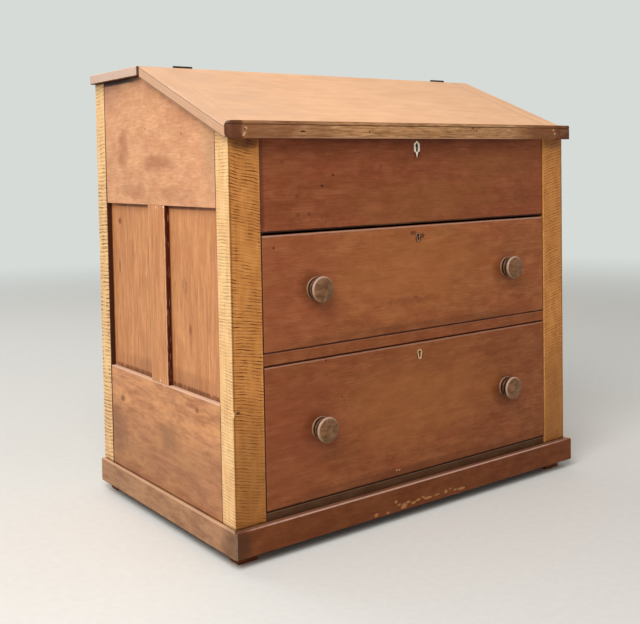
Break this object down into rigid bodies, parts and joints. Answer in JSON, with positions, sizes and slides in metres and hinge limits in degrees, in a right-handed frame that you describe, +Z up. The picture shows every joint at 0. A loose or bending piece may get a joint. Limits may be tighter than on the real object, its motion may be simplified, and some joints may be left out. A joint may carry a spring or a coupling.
{
  "type": "secretaire chest",
  "caption": "Slant-lid desk chest: panelled wooden case with a lockable well under a hinged sloping lid, over full-width drawers with turned knobs, on a plinth with small feet.",
  "frame": {"origin": "on the floor, in the middle of the chest's bounding box in plan", "axes": "+Z up; -Y to the front, where the drawers open; +X to the right of someone facing the front"},
  "size_m": [0.998, 0.629, 0.9907],
  "materials": {
    "maple": "satin curly maple",
    "case_cherry": "satin, mottled",
    "panel_cherry": "satin",
    "front_cherry": "satin, dark stained",
    "plinth_cherry": "satin, dark stained, worn",
    "dark_cherry": "matt, dark",
    "lid_cherry": "satin, bleached",
    "knob_wood": "satin",
    "pine": "raw",
    "iron": "dark, worn",
    "bone": "polished bone"
  },
  "bodies": {
    "case": {"back_panel": "pine", "bone_escutcheon": "bone", "bottom_board": "pine", "bottom_rail": "dark_cherry", "drawer_rail": "front_cherry", "front_left_foot": "plinth_cherry", "front_left_post": "maple", "front_right_foot": "plinth_cherry", "front_right_post": "maple", "left_drawer_runner": "pine", "left_front_panel": "panel_cherry", "left_hinge_fixed_leaf": "iron", "left_muntin": "case_cherry", "left_rear_panel": "panel_cherry", "left_side_bottom_rail": "case_cherry", "left_side_top_rail": "case_cherry", "plinth_front": "plinth_cherry", "plinth_left": "plinth_cherry", "plinth_right": "plinth_cherry", "rear_left_foot": "plinth_cherry", "rear_left_post": "maple", "rear_right_foot": "plinth_cherry", "rear_right_post": "maple", "right_drawer_runner": "pine", "right_front_panel": "panel_cherry", "right_hinge_fixed_leaf": "iron", "right_muntin": "case_cherry", "right_rear_panel": "panel_cherry", "right_side_bottom_rail": "case_cherry", "right_side_top_rail": "case_cherry", "top_board": "lid_cherry", "well_floor": "pine", "well_front": "front_cherry", "well_lock_case": "iron"},
    "lid": {"lid_panel": "lid_cherry", "lid_left_batten": "lid_cherry", "lid_right_batten": "lid_cherry", "lid_lip": "front_cherry", "left_hinge_lid_leaf": "iron", "right_hinge_lid_leaf": "iron", "lid_link_plate": "iron"},
    "upper_drawer": {"upper_drawer_front": "front_cherry", "upper_drawer_left_side": "pine", "upper_drawer_right_side": "pine", "upper_drawer_back": "pine", "upper_drawer_bottom": "pine", "upper_drawer_left_knob": "knob_wood", "upper_drawer_right_knob": "knob_wood", "upper_drawer_lock": "iron"},
    "lower_drawer": {"lower_drawer_front": "front_cherry", "lower_drawer_left_side": "pine", "lower_drawer_right_side": "pine", "lower_drawer_back": "pine", "lower_drawer_bottom": "pine", "lower_drawer_left_knob": "knob_wood", "lower_drawer_right_knob": "knob_wood", "lower_drawer_lock": "iron"},
    "upper_bolt": {"upper_drawer_bolt": "iron"},
    "lower_bolt": {"lower_drawer_bolt": "iron"},
    "well_bolt": {"well_lock_bolt": "iron"}
  },
  "joints": [
    {"name": "lid_hinge", "type": "hinge", "parent": "case", "child": "lid", "pos_m": [0, 0.05485, 0.98768], "axis": [-1, 0, 0], "range_deg": [0, 200]},
    {"name": "upper_drawer_slide", "type": "slide", "parent": "case", "child": "upper_drawer", "axis": [0, -1, 0], "range_m": [0, 0.38]},
    {"name": "lower_drawer_slide", "type": "slide", "parent": "case", "child": "lower_drawer", "axis": [0, -1, 0], "range_m": [0, 0.38]},
    {"name": "upper_bolt_slide", "type": "slide", "parent": "upper_drawer", "child": "upper_bolt", "axis": [0, 0, 1], "range_m": [0, 0.012]},
    {"name": "lower_bolt_slide", "type": "slide", "parent": "lower_drawer", "child": "lower_bolt", "axis": [0, 0, 1], "range_m": [0, 0.0085]},
    {"name": "well_bolt_slide", "type": "slide", "parent": "case", "child": "well_bolt", "axis": [-1, 0, 0], "range_m": [0, 0.008]}
  ]
}
